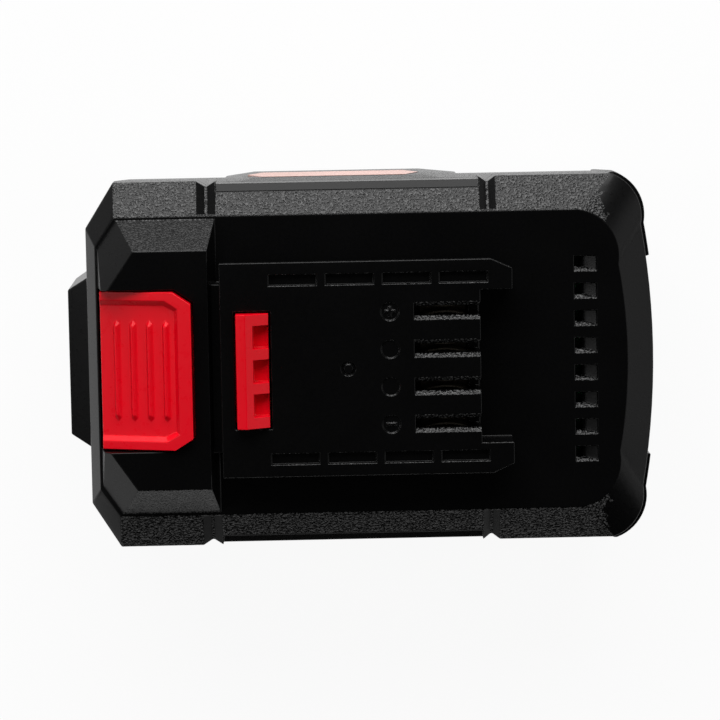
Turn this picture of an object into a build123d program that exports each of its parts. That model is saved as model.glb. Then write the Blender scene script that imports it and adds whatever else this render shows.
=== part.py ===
from build123d import *
import math
import os

# Slide-on battery pack for cordless power tools, in millimetres.
# X runs from the nose under the release button to the terminal end, Y across, Z up from the base.
# The origin is under the middle of the pack, on the surface that it stands on.

os.makedirs("parts", exist_ok=True)

# Shared clearances and the overrun of every cut
overrun = 1.0
sliding_gap = 0.4
seat_gap = 0.1
thread_gap = 0.05

# Cells and the frames that hold them
cell_radius = 9.2
cell_length = 65.0
cell_gap = 0.8
cell_layer_gap = 0.6
cell_columns = 5
cell_cap_radius = 4.0
cell_cap_height = 0.6
cell_crimp_depth = 0.5
cell_crimp_width = 1.2
cell_crimp_from_end = 3.4
cell_fit_gap = 0.05
frame_wall = 0.6
frame_depth = 10.0
frame_top_wall = 0.9
strip_thickness = 0.3
strip_width = 9.0
strip_cap_margin = 5.5
strip_tab_width = 3.0
strip_tab_foot = 4.0
insulator_thickness = 0.25
base_pad_thickness = 0.95

# Walls and the room that the housing leaves round the cells and the board
floor_thickness = 2.5
lower_wall = 3.2
skirt_wall = 1.7
shoulder_wall = 1.6
deck_wall = 2.2
deck_inset = 1.2
side_room = 0.65
front_room = 4.7
back_room = 6.7
nose_reach = 4.4
board_room = 4.35
board_thickness = 1.6

# Housing: heights between its levels, the seam, the lip and the base
shoulder_drop = 4.0
skirt_height = 6.0
lip_height = 1.6
lip_thickness = 0.8
seam_gap = 0.15
draft = 2.0
base_edge = 0.8

# Plan of the housing: how far its corners stand in from the ends and the sides
front_corner_run = 5.7
front_corner_depth = 9.1
back_corner_run = 8.3
back_round_run = 3.9
back_round_depth = 3.3
back_side_run = 2.3
back_side_depth = 10.4

# Deck outline, measured in from the same ends and sides
deck_front_run = 2.0
deck_corner_shift = 0.2
deck_side_run = 6.9
deck_back_run = 5.5
deck_back_side_run = 7.2
deck_back_round_run = 9.8
deck_back_corner_run = 15.3
deck_back_round_depth = 2.8
deck_back_side_depth = 11.2
corner_run_share = 1.45

# Middle of each side, set in between two grooves, with a smooth strip at its top and a pad for the label
panel_set_in = 0.6
panel_front_shift = 0.3
panel_back_shift = 0.6
panel_strip_width = 1.5
panel_strip_sink = 0.2
pad_proud = 0.5
pad_low = 8.0
pad_slope = 6.0
pad_drop = 4.0
pad_front_run = 1.5
pad_front_taper = 6.0
pad_back_run = 3.0
pad_back_taper = 8.0
pad_root = 2.0
groove_width = 4.0
groove_back_width = 3.4
groove_floor_width = 0.4
groove_depth = 1.1
groove_inner_shift = 0.3

# Bumper corners of the terminal end
bumper_proud = 0.7
bumper_side_proud = 0.3
bumper_reach = 16.6
bumper_low = 5.0
bumper_drop = 1.0
bumper_root = 3.0
bumper_start = 2.5

# Latch block
block_rise = 7.5
block_ledge = 0.5
block_side_run = 5.7
block_corner_shift = 3.5
block_front_shift = 0.9
block_length = 22.6
block_back_slope = 1.5
block_wall = 2.2

# Slide plate: flange, web and prongs
plate_rise = 9.7
plate_length = 51.7
prong_length = 6.4
prong_side_room = 3.1
prong_wall = 1.6
flange_thickness = 2.6
flange_reach = 4.5
block_to_plate = 2.3
neck_lap = 0.5
neck_wall = 1.2
prong_chamfer_x = 4.2
prong_chamfer_y = 1.9
web_wall = 2.2
recess_edge = 3.55
recess_width = 2.2
recess_length = 9.6
recess_pitch = 11.3
recess_first = 14.5
recess_count = 4
recess_depth = 1.2
ring_mark_from_mouth = 26.4
ring_mark_radius = 1.4
ring_mark_depth = 0.5
ring_mark_width = 0.45

# Terminal slots and contacts
slot_count = 4
slot_pitch = 7.5
slot_width = 1.9
slot_lead = 0.8
slot_length = 13.2
chamber_width = 3.2
chamber_drop = 3.0
slot_sill = 1.6
core_width = 2.2
core_inset = 1.2
core_back_inset = 2.4
core_roof = 2.6
contact_inset = 1.6
contact_back_inset = 2.4
contact_leaf = 0.35
contact_side_gap = 0.0
contact_bulge = 0.85
contact_drop = 4.4
contact_foot = 0.6
pole_mark_run = 4.8
pole_mark_radius = 1.8
pole_mark_depth = 0.3
pole_arm_share = 0.55
pole_line_share = 0.16

# Vents in the deck
vent_count = 8
vent_pitch = 5.5
vent_run = 16.2
vent_length = 4.5
vent_width = 3.1
vent_depth = 3.0
vent_lean = 1.0
vent_end_depth = 0.4
vent_end_lean = 0.2

# Release latch: button, arm and hook in one moulding
button_front_shift = 0.9
button_back_shift = 3.4
button_half = 15.8
button_low_rise = 3.8
button_high_rise = 2.9
button_corner_x = 3.6
button_corner_y = 2.4
button_rim = 1.7
button_dish = 0.9
button_dish_slope = 1.0
rib_count = 4
rib_pitch = 3.3
rib_first_run = 3.3
rib_half = 10.6
rib_width = 1.8
rib_height = 0.7
rib_crest = 0.5
latch_travel = 4.4
latch_bar_thickness = 2.8
latch_bar_half = 11.0
latch_flange_reach = 2.6
latch_flange_run = 4.9
latch_flange_back = 1.4
collar_wall = 1.5
hook_run = 3.1
hook_length = 6.5
hook_half = 11.4
hook_rise = 3.3
hook_crest_run = 1.9
hook_catch_drop = 0.7
hook_back_rise = 0.5
hook_pocket_count = 3
hook_pocket_pitch = 6.8
hook_pocket_width = 4.5
hook_pocket_run = 3.1
hook_pocket_sink = 1.1
front_sill_rise = 0.6

# Latch springs and the plate under them
spring_run = 5.2
spring_half_pitch = 9.0
spring_mean_radius = 2.5
spring_wire = 0.6
spring_turns = 5.5
spring_pocket_gap = 0.4
spring_pocket_roof_drop = 0.1
retainer_thickness = 1.4
retainer_room = 1.04
retainer_front_shift = 0.4
retainer_back_shift = 0.5
retainer_ear_radius = 3.0
retainer_screw_run = 5.6
retainer_boss_radius = 2.5
retainer_boss_gap = 0.5

# Small screws (board and retainer) and housing screws
small_screw_radius = 0.9
small_screw_length = 5.0
small_head_radius = 1.7
small_head_height = 1.1
housing_screw_radius = 1.1
housing_screw_length = 20.0
housing_head_radius = 2.0
housing_head_height = 1.8
head_hole_gap = 0.25
socket_radius_share = 0.55
socket_depth_share = 0.6
boss_wall = 0.95
boss_gap = 0.2
boss_front_half = 22.0
boss_back_half = 20.0
post_radius = 3.0
post_depth = 5.4

# Protection board and what it carries
board_front_shift = 0.4
board_back_shift = 1.2
board_side_shift = 4.5
board_screw_edge = 1.0
transistor_size = (10.0, 9.0, 2.3)
transistor_pitch = 12.0
transistor_run = 10.0
transistor_count = 3
chip_size = (7.0, 7.0, 1.0)
chip_run = 25.0
chip_edge = 12.0
shunt_size = (3.2, 12.0, 0.9)
shunt_gap = 1.6
shunt_edge = 1.0
capacitor_size = (1.2, 2.0, 1.1)
capacitor_count = 6
capacitor_pitch = 3.6
capacitor_run = 17.0
capacitor_edge = 10.0
terminal_block_front_run = 1.2
terminal_block_back_run = 1.0
terminal_block_side_gap = 0.7
terminal_block_height = 3.0
sensor_radius = 1.4
sensor_length = 5.0
sensor_y = -12.0
sensor_wire = 0.45

# Nose and charge gauge
nose_foot_half = 18.6
nose_tip_half = 14.8
nose_foot_low = 6.0
nose_foot_drop = 0.6
nose_tip_low = 11.0
nose_tip_drop = 2.4
nose_wall = 1.8
nose_cavity_half = 12.2
nose_cavity_margin = 4.0
window_half = 6.2
window_centre_y = -3.4
window_height = 4.2
window_flange = 0.9
window_flange_thickness = 0.8
gauge_rise = 2.7
gauge_button_y = 7.4
gauge_button_radius = 2.6
gauge_button_flange = 0.8
gauge_button_travel = 0.6
gauge_button_gap = 0.3
gauge_button_stem_radius = 1.0
gauge_button_stem = 0.4
gauge_dish_depth = 0.4
gauge_dish_radius = 3.8
gauge_board_thickness = 0.8
gauge_board_half = 11.6
gauge_board_height = 12.0
lamp_count = 4
lamp_pitch = 3.0
lamp_size = (0.8, 1.6, 1.6)
switch_size = (0.9, 3.4, 3.4)
lead_width = 5.0
lead_thickness = 0.5
lead_gap = 1.0
lead_rise = 4.0
lead_lap = 2.5

# Labels, bare
label_front_run = 6.2
label_back_run = 11.4
label_taper = 3.0
label_low = 20.0
label_top_drop = 1.0
label_thickness = 0.3
label_recess = 0.2
rating_label_length = 62.0
rating_label_width = 34.0
rating_label_recess = 0.4

# Places along X of the cells and of the housing round them
cell_pitch = 2 * cell_radius + cell_gap
cell_layer_pitch = 2 * cell_radius + cell_layer_gap
cell_block_centre_x = (nose_reach + front_room - back_room) / 2
cell_first_x = cell_block_centre_x - cell_pitch * (cell_columns - 1) / 2
cell_xs = [cell_first_x + cell_pitch * i for i in range(cell_columns)]
frame_front_x = cell_xs[0] - cell_radius - frame_wall
frame_back_x = cell_xs[-1] + cell_radius + frame_wall
front_end_x = frame_front_x - front_room - lower_wall
back_end_x = frame_back_x + back_room + lower_wall
nose_x = front_end_x - nose_reach
front_corner_x = front_end_x + front_corner_run
deck_front_x = front_end_x + deck_front_run
deck_corner_x = front_corner_x + deck_corner_shift
block_foot_front_x = deck_front_x + block_ledge
block_foot_corner_x = deck_corner_x + block_ledge

# Places along X of the block, the plate, the slots and the latch
block_top_front_x = block_foot_front_x + block_front_shift
block_top_corner_x = block_foot_corner_x + block_corner_shift
block_top_back_x = deck_front_x + block_length
block_foot_back_x = block_top_back_x + block_back_slope
plate_front_x = block_top_back_x + block_to_plate
plate_mouth_x = plate_front_x + plate_length
plate_tip_x = plate_mouth_x + prong_length
slot_front_x = plate_mouth_x - slot_length
panel_front_x = block_foot_back_x + panel_front_shift
panel_back_x = plate_mouth_x + panel_back_shift
contact_front_x = slot_front_x + contact_inset
contact_back_x = plate_mouth_x - contact_back_inset
button_front_x = deck_front_x + button_front_shift
button_back_x = block_top_back_x - button_back_shift
latch_flange_front_x = button_front_x + latch_flange_run
latch_flange_back_x = button_back_x + latch_flange_back
hook_front_x = plate_front_x + hook_run
hook_back_x = hook_front_x + hook_length
hook_crest_x = hook_front_x + hook_crest_run
spring_x = button_back_x - spring_run
retainer_front_x = latch_flange_front_x + retainer_front_shift
retainer_back_x = latch_flange_back_x + retainer_back_shift
retainer_screw_x = button_back_x - retainer_screw_run
board_front_x = button_back_x + board_front_shift
board_back_x = frame_back_x - board_back_shift
transistor_x = plate_mouth_x + transistor_run
chip_x = board_front_x + chip_run
capacitor_first_x = board_front_x + capacitor_run
shunt_x = transistor_x - (transistor_size[0] + shunt_size[0]) / 2 - shunt_gap

# Half widths, from the middle out
shoulder_inner_half = cell_length / 2 + strip_thickness + seat_gap + insulator_thickness + side_room
shoulder_half = shoulder_inner_half + lower_wall
deck_half = shoulder_half - deck_side_run
block_foot_half = deck_half - block_ledge
block_top_half = block_foot_half - block_side_run
panel_half = shoulder_half - panel_set_in
pad_half = panel_half + pad_proud
slot_ys = [slot_pitch * (i - (slot_count - 1) / 2) for i in range(slot_count)]
prong_inner_half = slot_ys[-1] + slot_width / 2 + prong_side_room
web_half = prong_inner_half + prong_wall
plate_half = web_half + flange_reach
recess_half_pitch = plate_half - recess_edge
contact_spread = chamber_width / 2 - contact_leaf - contact_side_gap
latch_flange_half = button_half + latch_flange_reach
retainer_screw_half = latch_flange_half + retainer_boss_gap + retainer_boss_radius
retainer_half = retainer_screw_half - thread_gap
terminal_block_half = prong_inner_half - terminal_block_side_gap

# Heights, from the floor up
cell_low_z = floor_thickness + base_pad_thickness + seat_gap + cell_radius
cell_layers = [cell_low_z, cell_low_z + cell_layer_pitch]
cell_end = cell_length / 2
frame_outer = cell_end - seat_gap
frame_low = floor_thickness + seat_gap
frame_top = cell_layers[1] + cell_radius + frame_top_wall
board_low = frame_top
board_top = board_low + board_thickness
board_half = cell_end - board_side_shift
board_screw_half = board_half - board_screw_edge
chip_y = board_half - chip_edge
capacitor_y = capacitor_edge - board_half
shunt_y = shunt_size[1] / 2 + shunt_edge - board_half
board_screw_xs = [(cell_xs[0] + cell_xs[1]) / 2, (cell_xs[3] + cell_xs[4]) / 2]
terminal_block_top = board_top + terminal_block_height
deck_ceiling = board_top + board_room
deck_height = deck_ceiling + deck_wall
shoulder_height = deck_height - shoulder_drop
split_height = shoulder_height - skirt_height
block_top_height = deck_height + block_rise
block_roof = block_top_height - block_wall
plate_height = deck_height + plate_rise
latch_low = board_top + retainer_thickness + retainer_room + latch_travel
latch_bar_top = latch_low + latch_bar_thickness
retainer_top = latch_low - latch_travel - seat_gap
retainer_low = retainer_top - retainer_thickness
neck_roof = latch_bar_top + sliding_gap + 3 * seat_gap
neck_height = neck_roof + neck_wall
button_low_height = deck_height + button_low_rise
button_high_height = block_top_height + button_high_rise
hook_height = plate_height + hook_rise
hook_back_height = plate_height + hook_back_rise
hook_pocket_floor = plate_height - hook_pocket_sink
front_sill_height = deck_height + front_sill_rise
spring_pocket_roof = block_roof - spring_pocket_roof_drop
spring_pocket_radius = spring_mean_radius + spring_wire / 2 + spring_pocket_gap
slot_sill_height = deck_height + slot_sill
contact_top_height = plate_height - contact_drop
chamber_top = plate_height - chamber_drop
pad_high = split_height - pad_drop
label_high = pad_high - label_top_drop

# Screws and bosses
boss_top = split_height + lip_height
head_hole_radius = housing_head_radius + head_hole_gap
boss_radius = head_hole_radius + boss_wall
boss_front_x = frame_front_x - boss_gap - boss_radius
boss_back_x = frame_back_x + boss_gap + boss_radius
boss_places = [(boss_front_x, boss_front_half), (boss_front_x, -boss_front_half)]
boss_places += [(boss_back_x, boss_back_half), (boss_back_x, -boss_back_half)]
screw_top = boss_top + post_depth - 4 * seat_gap
screw_head_low = screw_top - housing_screw_length - housing_head_height
retainer_screws = [(retainer_screw_x, retainer_screw_half), (retainer_screw_x, -retainer_screw_half)]

# Nose and gauge
nose_foot_high = split_height - nose_foot_drop
nose_tip_high = split_height - nose_tip_drop
nose_cavity_low = nose_tip_low + nose_cavity_margin
nose_cavity_high = nose_tip_high - nose_cavity_margin + overrun
gauge_centre_z = (nose_tip_low + nose_tip_high) / 2 + gauge_rise
gauge_flange_x = nose_x + nose_wall + seat_gap
gauge_switch_x = gauge_flange_x + gauge_button_flange + gauge_button_stem + gauge_button_travel + seat_gap
gauge_board_x = gauge_switch_x + switch_size[0]

# Outlines on the +Y side: front, corner, end of the side, middle and end of the round, tip
shoulder_side = [
    (front_end_x, shoulder_half - front_corner_depth),
    (front_corner_x, shoulder_half),
    (back_end_x - back_corner_run, shoulder_half),
    (back_end_x - back_round_run, shoulder_half - back_round_depth),
    (back_end_x - back_side_run, shoulder_half - back_side_depth),
    (back_end_x, 0),
]
deck_side = [
    (deck_front_x, deck_half - (deck_corner_x - deck_front_x) * corner_run_share),
    (deck_corner_x, deck_half),
    (back_end_x - deck_back_corner_run, deck_half),
    (back_end_x - deck_back_round_run, deck_half - deck_back_round_depth),
    (back_end_x - deck_back_side_run, deck_half - deck_back_side_depth),
    (back_end_x - deck_back_run, 0),
]
block_foot_side = [
    (block_foot_front_x, block_foot_half - (block_foot_corner_x - block_foot_front_x) * corner_run_share),
    (block_foot_corner_x, block_foot_half),
    (block_foot_back_x, block_foot_half),
]
block_top_side = [
    (block_top_front_x, block_top_half - (block_top_corner_x - block_top_front_x) * corner_run_share),
    (block_top_corner_x, block_top_half),
    (block_top_back_x, block_top_half),
]


def both_sides(points):
    """Close an outline given on the +Y side, from the nose end to the terminal end."""
    return points + [(x, -y) for x, y in reversed(points) if y]


def outline(points, height=0.0, shrink=0.0):
    """A flat face from an outline, drawn in by shrink, at a height."""
    face = make_face(Polyline(*points, close=True))
    if shrink:
        face = offset(face, amount=-shrink, kind=Kind.INTERSECTION)
    return Pos(0, 0, height) * face


def prism(points, low, high, shrink=0.0):
    return extrude(outline(points, low, shrink), amount=high - low)


def housing_face(side, height=0.0, shrink=0.0):
    """Plan of the housing: straight at the nose and along the sides, in arcs round the terminal end."""
    front, corner, side_end, round_middle, round_end, tip = side
    far = [(x, -y) for x, y in side]
    edges = [
        Polyline(far[2], far[1], far[0], front, corner, side_end),
        ThreePointArc(side_end, round_middle, round_end),
        ThreePointArc(round_end, tip, far[4]),
        ThreePointArc(far[4], far[3], far[2]),
    ]
    face = make_face(edges)
    if shrink:
        face = offset(face, amount=-shrink)
    return Pos(0, 0, height) * face


def housing_slab(side, low, high, shrink=0.0):
    return extrude(housing_face(side, low, shrink), amount=high - low)


def bridge(low_face, high_face):
    return loft([low_face, high_face], ruled=True)


def box(x0, x1, y0, y1, z0, z1):
    place = Pos((x0 + x1) / 2, (y0 + y1) / 2, (z0 + z1) / 2)
    return place * Box(x1 - x0, y1 - y0, z1 - z0)


def bar(x0, x1, half, z0, z1):
    return box(x0, x1, -half, half, z0, z1)


def post(x, y, radius, low, high):
    return Pos(x, y, (low + high) / 2) * Cylinder(radius, high - low)


def along_x(points, x0, x1):
    """A prism along X from (y, z) points."""
    wire = Polyline(*[(x0, y, z) for y, z in points], close=True)
    return extrude(make_face(wire), amount=x1 - x0, dir=(1, 0, 0))


def along_y(points, y0, y1):
    """A prism along Y from (x, z) points."""
    wire = Polyline(*[(x, y0, z) for x, z in points], close=True)
    return extrude(make_face(wire), amount=y1 - y0, dir=(0, 1, 0))


def mirrored(shape):
    return mirror(shape, about=Plane.XZ)


def write(name, shape, count=1):
    """Write one node and stop if it isn't the number of solids that it should be."""
    solids = shape.solids()
    print(name, len(solids), round(sum(s.volume for s in solids), 1))
    assert len(solids) == count, name
    body = solids[0] if count == 1 else Compound(children=solids)
    export_step(body, "parts/" + name + ".step")


def slope_height(y):
    """Height of the slope between the deck's edge and the shoulder at a half width."""
    return deck_height - shoulder_drop * (y - deck_half) / (shoulder_half - deck_half)


def side_set_in():
    """Cut that sets the middle of one side in, with a smooth strip along its top edge."""
    strip_inner = panel_half - panel_strip_width
    section = [
        (strip_inner, slope_height(strip_inner) - panel_strip_sink),
        (panel_half, slope_height(panel_half) - panel_strip_sink),
        (panel_half, split_height - overrun),
        (shoulder_half + overrun, split_height - overrun),
        (shoulder_half + overrun, deck_height),
        (strip_inner, deck_height),
    ]
    return along_x(section, panel_front_x, panel_back_x)


def label_pad():
    """Low pad on the middle of one side that carries the label, with tapered ends."""
    root = pad_half - pad_root
    section = [
        (root, pad_low),
        (shoulder_half - draft, pad_low),
        (pad_half, pad_low + pad_slope),
        (pad_half, pad_high),
        (panel_half, split_height - seam_gap),
        (root, split_height - seam_gap),
    ]
    front = panel_front_x + pad_front_run
    back = panel_back_x - pad_back_run
    plan = [
        (front, root),
        (front, panel_half - pad_proud),
        (front + pad_front_taper, pad_half),
        (back - pad_back_taper, pad_half),
        (back, panel_half - pad_proud),
        (back, root),
    ]
    return along_x(section, front, back) & prism(plan, pad_low, split_height)


def side_groove(x0, x1):
    """Cut of one groove beside the middle of a side: two sloping walls and a narrow floor."""
    middle = (x0 + x1) / 2
    left = middle - groove_floor_width / 2
    right = middle + groove_floor_width / 2
    inner = deck_half + groove_inner_shift
    top = slope_height(inner)
    widen = (left - x0) / groove_depth
    mouth = [
        (x0 - widen * overrun, inner, top + overrun),
        (left, inner, top - groove_depth),
        (right, inner, top - groove_depth),
        (x1 + widen * overrun, inner, top + overrun),
    ]
    run = shoulder_half - deck_half
    reach = 2 * run
    along_slope = make_face(Polyline(*mouth, close=True))
    cut = extrude(along_slope, amount=reach, dir=Vector(0, run, -shoulder_drop).normalized())
    upright = [
        (x0 - widen * overrun, shoulder_half + overrun),
        (left, shoulder_half - groove_depth),
        (right, shoulder_half - groove_depth),
        (x1 + widen * overrun, shoulder_half + overrun),
    ]
    return cut + prism(upright, pad_low, shoulder_height)


def rail_plate():
    """Slide plate on its web, with the two prongs past the slot mouths."""
    flange_low = plate_height - flange_thickness
    chamfer_start = plate_tip_x - prong_chamfer_x
    plate = [
        (plate_front_x, plate_half),
        (chamfer_start, plate_half),
        (plate_tip_x, plate_half - prong_chamfer_y),
        (plate_tip_x, prong_inner_half),
        (plate_mouth_x, prong_inner_half),
    ]
    rail = prism(both_sides(plate), flange_low, plate_height)
    rail += bar(block_top_back_x - neck_lap, plate_front_x, web_half, deck_ceiling, neck_height)
    web = [
        (plate_front_x, web_half),
        (plate_tip_x, web_half),
        (plate_tip_x, prong_inner_half),
        (plate_mouth_x, prong_inner_half),
    ]
    rail += prism(both_sides(web), deck_ceiling, flange_low)
    for side in (-1, 1):
        for i in range(recess_count):
            x = plate_front_x + recess_first + recess_pitch * i
            recess = box(
                x - recess_length / 2,
                x + recess_length / 2,
                side * recess_half_pitch - recess_width / 2,
                side * recess_half_pitch + recess_width / 2,
                plate_height - recess_depth,
                plate_height + overrun,
            )
            rail -= recess
    return rail


def terminal_slots():
    """The four slots, open at the mouth, each with a lead-in at its top and a wider chamber below."""
    cuts = []
    top = plate_height + overrun
    half = slot_width / 2
    chamber_half = chamber_width / 2
    chamber_low = deck_ceiling - overrun
    chamber_back = plate_mouth_x - web_wall
    for y in slot_ys:
        lead_in = [
            (y - half, plate_height - slot_lead),
            (y + half, plate_height - slot_lead),
            (y + half + slot_lead + overrun, top),
            (y - half - slot_lead - overrun, top),
        ]
        cuts.append(along_x(lead_in, slot_front_x, plate_mouth_x + overrun))
        cuts.append(box(slot_front_x, plate_mouth_x + overrun, y - half, y + half, slot_sill_height, top))
        cuts.append(
            box(slot_front_x, chamber_back, y - chamber_half, y + chamber_half, chamber_low, chamber_top)
        )
    return cuts


def slot_cores():
    """Hollows between the slots that keep the walls thin, open below."""
    core_ys = [(a + b) / 2 for a, b in zip(slot_ys, slot_ys[1:])]
    roof = plate_height - core_roof
    low = deck_ceiling - overrun
    front = slot_front_x + core_inset
    back = plate_mouth_x - core_back_inset
    return [box(front, back, y - core_width / 2, y + core_width / 2, low, roof) for y in core_ys]


def vent_end(low_y, high_y, lean, depth):
    """Section of a vent, chamfered on one side."""
    top = deck_height + overrun
    return [
        (low_y, top),
        (high_y, top),
        (high_y, deck_height - depth),
        (low_y + lean, deck_height - depth),
        (low_y + lean, deck_height - lean),
        (low_y, deck_height),
    ]


def vents():
    """Ramped vents, deepest and open through the deck at the nose side."""
    cuts = []
    front = back_end_x - vent_run
    back = front + vent_length
    for i in range(vent_count):
        middle = vent_pitch * (i - (vent_count - 1) / 2)
        low_y = middle - vent_width / 2
        high_y = middle + vent_width / 2
        deep_end = vent_end(low_y, high_y, vent_lean, vent_depth)
        shallow_end = vent_end(low_y, high_y, vent_end_lean, vent_end_depth)
        deep_face = make_face(Polyline(*[(front, y, z) for y, z in deep_end], close=True))
        shallow_face = make_face(Polyline(*[(back, y, z) for y, z in shallow_end], close=True))
        cuts.append(bridge(deep_face, shallow_face))
    return cuts


def button_outline(grow=0.0):
    """Plan of the button: square at the nose end, cut corners at the other."""
    side = [
        (button_front_x - grow, button_half + grow),
        (button_back_x - button_corner_x + grow / 2, button_half + grow),
        (button_back_x + grow, button_half - button_corner_y + grow / 2),
    ]
    return both_sides(side)


def pole_marks():
    """Round sunk marks beside the slots: a plus, a minus and two plain."""
    cuts = []
    floor = plate_height - pole_mark_depth
    top = plate_height + overrun
    arm = pole_mark_radius * pole_arm_share
    line = pole_mark_radius * pole_line_share
    pole_mark_x = slot_front_x - pole_mark_run
    for i, y in enumerate(reversed(slot_ys)):
        mark = post(pole_mark_x, y, pole_mark_radius, floor, top)
        if i in (0, slot_count - 1):
            mark -= box(pole_mark_x - arm, pole_mark_x + arm, y - line, y + line, floor, top)
        if i == 0:
            mark -= box(pole_mark_x - line, pole_mark_x + line, y - arm, y + arm, floor, top)
        cuts.append(mark)
    return cuts


def upper_shell():
    skirt = housing_slab(shoulder_side, split_height + seam_gap, shoulder_height)
    body = skirt + bridge(housing_face(shoulder_side, shoulder_height), housing_face(deck_side, deck_height))
    block_foot = both_sides(block_foot_side)
    block_top = both_sides(block_top_side)
    body += bridge(outline(block_foot, deck_height), outline(block_top, block_top_height))
    outer = body
    corner = bumper(skirt, split_height + seam_gap, shoulder_height - bumper_drop)
    body += corner + mirrored(corner)
    for cut in [side_set_in()] + side_grooves():
        body -= cut
        body -= mirrored(cut)
    body += rail_plate()

    cavity_top = shoulder_height - shoulder_wall
    cavity = housing_slab(shoulder_side, split_height - overrun, cavity_top, skirt_wall)
    cavity += bridge(
        housing_face(shoulder_side, cavity_top, skirt_wall),
        housing_face(deck_side, deck_ceiling, deck_inset),
    )
    cavity += bridge(
        outline(block_foot, deck_ceiling, block_wall),
        outline(block_top, block_roof, block_wall),
    )
    arm_room_back = hook_back_x + block_wall
    cavity += bar(
        block_top_back_x - 2 * block_wall,
        arm_room_back,
        latch_bar_half + block_wall,
        deck_ceiling - overrun,
        neck_roof,
    )
    cavity += bar(
        arm_room_back + web_wall,
        slot_front_x - web_wall,
        web_half - web_wall,
        deck_ceiling - overrun,
        plate_height - web_wall,
    )
    body -= cavity
    for x, y in boss_places:
        stem = post(x, y, post_radius, boss_top + seat_gap, deck_height)
        body += stem & outer
    for x, y in retainer_screws:
        stem = post(x, y, retainer_boss_radius, retainer_top, block_roof + block_wall / 2)
        body += stem & outer
    body += collar()

    window_grow = sliding_gap
    body -= prism(button_outline(window_grow), deck_ceiling - latch_travel, block_top_height + overrun)
    body -= bar(
        deck_front_x - overrun,
        button_front_x,
        button_half + window_grow,
        front_sill_height,
        block_top_height + overrun,
    )
    body -= bar(
        hook_front_x - sliding_gap,
        hook_back_x + sliding_gap,
        hook_half + sliding_gap,
        neck_roof - overrun,
        plate_height + overrun,
    )
    for cut in terminal_slots() + slot_cores() + vents() + pole_marks():
        body -= cut
    ring_x = plate_mouth_x - ring_mark_from_mouth
    ring_floor = plate_height - ring_mark_depth
    ring = post(ring_x, 0, ring_mark_radius, ring_floor, plate_height + overrun)
    ring -= post(ring_x, 0, ring_mark_radius - ring_mark_width, ring_floor, plate_height + overrun)
    body -= ring
    for x, y in boss_places:
        body -= post(x, y, housing_screw_radius + thread_gap, split_height, boss_top + post_depth)
    for x, y in retainer_screws:
        hole_top = retainer_low + small_screw_length + seat_gap
        body -= post(x, y, small_screw_radius + thread_gap, retainer_top - overrun, hole_top)
    return body


def collar():
    """Guide wall round the button, down from the block's roof."""
    low = latch_bar_top + seat_gap
    wall = prism(button_outline(sliding_gap + collar_wall), low, block_roof + seat_gap)
    inside = prism(button_outline(sliding_gap), low - overrun, block_top_height)
    front = bar(front_end_x, button_front_x + collar_wall, shoulder_half, low - overrun, block_top_height)
    return wall - inside - front


def side_grooves():
    """The grooves at both ends of one side's middle."""
    return [
        side_groove(panel_front_x - groove_width, panel_front_x),
        side_groove(panel_back_x, panel_back_x + groove_back_width),
    ]


def bumper(walls, low, high):
    """The walls stood proud round one back corner, from the start of the round to a step beside the tip."""
    reach = shoulder_half + bumper_proud
    skin = Pos(bumper_proud, bumper_side_proud, 0) * walls
    front = back_end_x - back_corner_run + bumper_start
    inner = shoulder_half - bumper_reach
    window = [
        (front, reach + overrun),
        (back_end_x + bumper_root, reach + overrun),
        (back_end_x + bumper_root, inner + bumper_proud),
        (back_end_x - bumper_root, inner - bumper_proud),
        (front - bumper_root, shoulder_half - 2 * bumper_root),
        (front - bumper_root, shoulder_half),
    ]
    return skin & prism(window, low, high)


def nose():
    """Tapered nose under the button."""
    base_x = front_end_x + lower_wall / 2
    foot = [(-nose_foot_half, nose_foot_low), (nose_foot_half, nose_foot_low)]
    foot += [(nose_foot_half, nose_foot_high), (-nose_foot_half, nose_foot_high)]
    tip = [(-nose_tip_half, nose_tip_low), (nose_tip_half, nose_tip_low)]
    tip += [(nose_tip_half, nose_tip_high), (-nose_tip_half, nose_tip_high)]
    foot_face = make_face(Polyline(*[(base_x, y, z) for y, z in foot], close=True))
    tip_face = make_face(Polyline(*[(nose_x, y, z) for y, z in tip], close=True))
    return bridge(foot_face, tip_face)


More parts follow.
